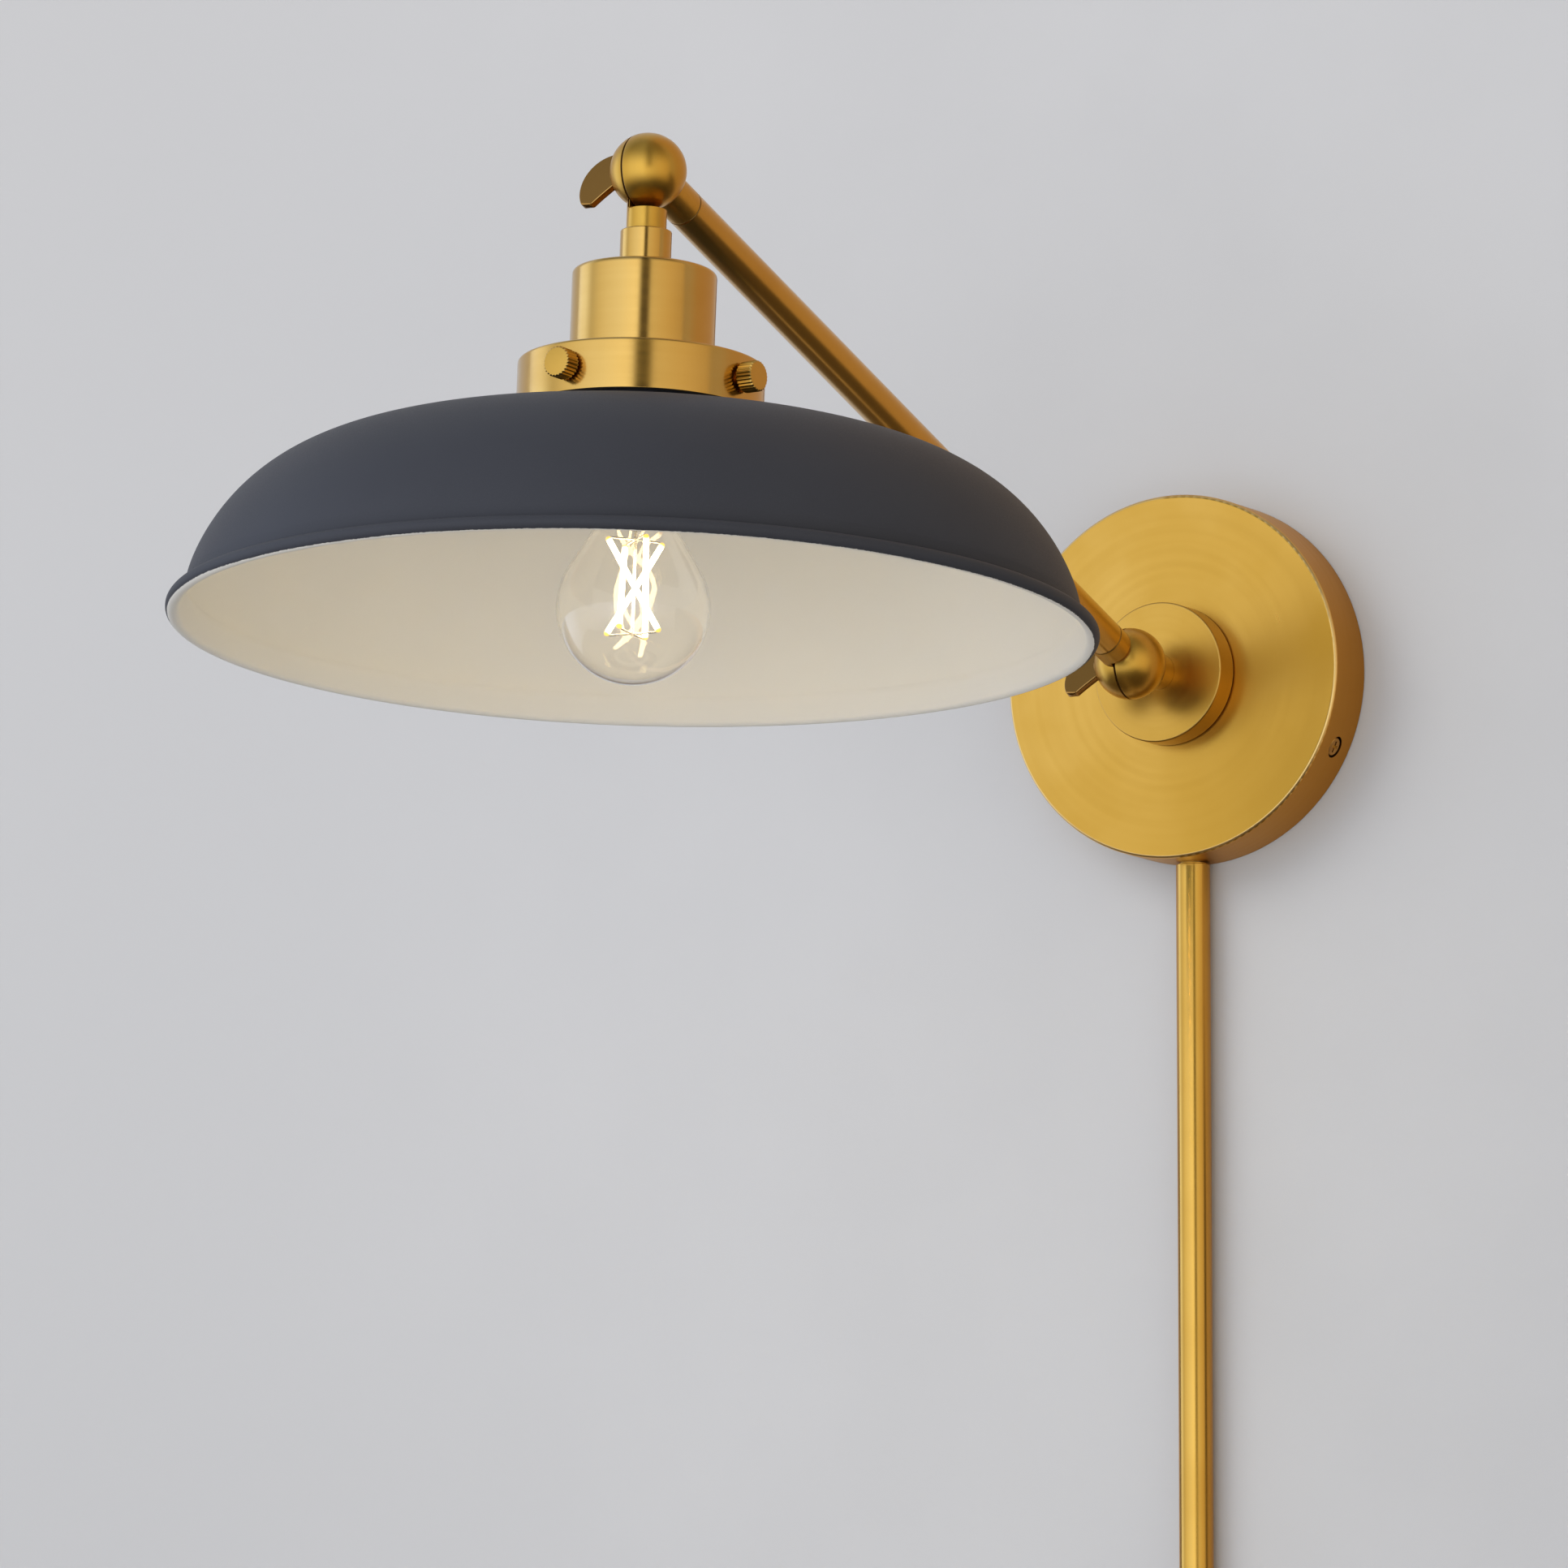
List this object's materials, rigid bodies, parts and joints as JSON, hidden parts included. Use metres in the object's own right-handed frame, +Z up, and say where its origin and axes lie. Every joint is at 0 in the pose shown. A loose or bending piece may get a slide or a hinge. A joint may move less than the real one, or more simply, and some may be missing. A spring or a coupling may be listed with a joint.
{
  "type": "swing arm wall sconce",
  "caption": "Wall lamp: round brass canopy, swivel hub, pitched arm on knuckles clamped by wing keys, wide dark domed shade with a clear bulb, and a cord-cover tube down the wall.",
  "frame": {"origin": "centre of the canopy on the wall, in the plane of the wall", "axes": "+Y into the wall, -Y towards the room, +Z up, +X to the right seen from the room"},
  "size_m": [0.3556, 0.6548, 0.5865],
  "materials": {
    "brass": "satin brushed",
    "plated_steel": "zinc plated",
    "earth_green": "green",
    "fibre": "fibre",
    "bushing": "moulded",
    "flex": "jacket",
    "shade_paint": "matte dark grey outside, warm white inside",
    "lampholder": "glazed",
    "shell": "plain",
    "cap_glass": "gloss",
    "clear_glass": "clear",
    "filament": "phosphor coat"
  },
  "bodies": {
    "wall_side": {"mounting_strap": "plated_steel", "earth_screw": "earth_green", "canopy_cover": "brass", "canopy_side_screws": "brass", "cord_cover_tube": "brass", "cord_cover_plug": "brass", "cord_cover_nipple": "plated_steel", "cord_cover_nut": "plated_steel", "cord_cover_bushing": "bushing", "canopy_flex": "flex"},
    "hub": {"swivel_thrust_washer": "fibre", "swivel_hub": "brass", "swivel_nipple": "plated_steel", "swivel_spring_washer": "plated_steel", "swivel_lock_nut": "plated_steel", "lower_knuckle_fixed": "brass", "lower_friction_ring": "fibre"},
    "lower_key": {"lower_wing_key": "brass"},
    "arm": {"lower_knuckle_moving": "brass", "arm_tube": "brass", "arm_flex": "flex", "upper_knuckle_fixed": "brass", "upper_friction_ring": "fibre"},
    "upper_key": {"upper_wing_key": "brass"},
    "head": {"upper_knuckle_moving": "brass", "stem_collar": "brass", "head_nipple": "plated_steel", "socket_cup": "brass", "cup_lock_nut": "plated_steel", "shade_gallery": "brass", "gallery_ring_nut": "brass", "lampholder_body": "lampholder", "lampholder_shell": "shell", "lampholder_contact": "brass", "head_flex": "flex", "shade": "shade_paint", "bulb_base": "shell", "bulb_insulator": "cap_glass", "bulb_contact": "brass", "bulb_glass": "clear_glass", "bulb_mount": "clear_glass", "bulb_filaments": "filament", "bulb_lead_wires": "plated_steel"},
    "thumb_1": {"thumb_screw_1": "brass"},
    "thumb_2": {"thumb_screw_2": "brass"},
    "thumb_3": {"thumb_screw_3": "brass"},
    "thumb_4": {"thumb_screw_4": "brass"}
  },
  "joints": [
    {"name": "base_swivel", "type": "hinge", "parent": "wall_side", "child": "hub", "pos_m": [0, 0, 0], "axis": [0, -1, 0], "range_deg": [-90, 90]},
    {"name": "arm_tilt", "type": "hinge", "parent": "hub", "child": "arm", "pos_m": [0, -0.06346, 0], "axis": [1, 0, 0], "range_deg": [-50, 60]},
    {"name": "head_tilt", "type": "hinge", "parent": "arm", "child": "head", "pos_m": [0, -0.46591, 0.1363], "axis": [1, 0, 0], "range_deg": [-90, 10]},
    {"name": "lower_key_turn", "type": "hinge", "parent": "hub", "child": "lower_key", "pos_m": [0, -0.06346, 0], "axis": [-1, 0, 0], "range_deg": [0, 180]},
    {"name": "upper_key_turn", "type": "hinge", "parent": "arm", "child": "upper_key", "pos_m": [0, -0.46591, 0.1363], "axis": [-1, 0, 0], "range_deg": [0, 180]},
    {"name": "thumb_1_back_out", "type": "slide", "parent": "head", "child": "thumb_1", "axis": [-0.1045, -0.9924, 0.0642], "range_m": [0, 0.0045]},
    {"name": "thumb_2_back_out", "type": "slide", "parent": "head", "child": "thumb_2", "axis": [0.9945, -0.1043, 0.0067], "range_m": [0, 0.0045]},
    {"name": "thumb_3_back_out", "type": "slide", "parent": "head", "child": "thumb_3", "axis": [0.1045, 0.9924, -0.0642], "range_m": [0, 0.0045]},
    {"name": "thumb_4_back_out", "type": "slide", "parent": "head", "child": "thumb_4", "axis": [-0.9945, 0.1043, -0.0067], "range_m": [0, 0.0045]}
  ]
}
